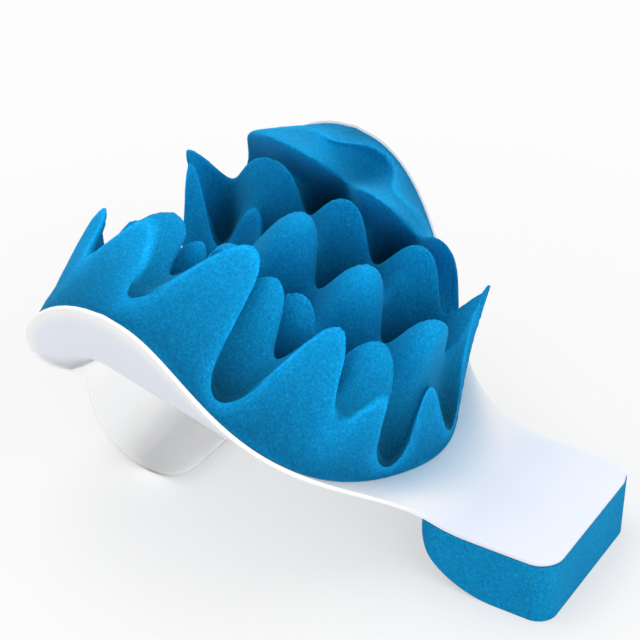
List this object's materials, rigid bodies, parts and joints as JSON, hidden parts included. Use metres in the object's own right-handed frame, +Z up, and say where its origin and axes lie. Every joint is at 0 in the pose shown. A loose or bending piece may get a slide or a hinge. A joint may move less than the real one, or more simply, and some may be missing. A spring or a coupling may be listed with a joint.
{
  "type": "neck and shoulder relaxer",
  "caption": "Bent plastic cradle with a finger-foam neck pad, a springy curled leg and a foam foot block under its tongue.",
  "frame": {"origin": "middle of the footprint, on the surface that the part stands on", "axes": "+X along the part, from the curled leg to the tongue; +Y across it; +Z up"},
  "size_m": [0.2582, 0.223, 0.1548],
  "materials": {
    "frame_plastic": "satin, milky, slightly see-through polypropylene sheet",
    "pad_foam": "matt open-cell polyurethane foam with fine pores",
    "block_foam": "matt open-cell polyurethane foam with scattered pores"
  },
  "bodies": {
    "root": {"support_frame": "frame_plastic", "cradle_pad": "pad_foam", "foot_block": "block_foam"}
  },
  "joints": []
}
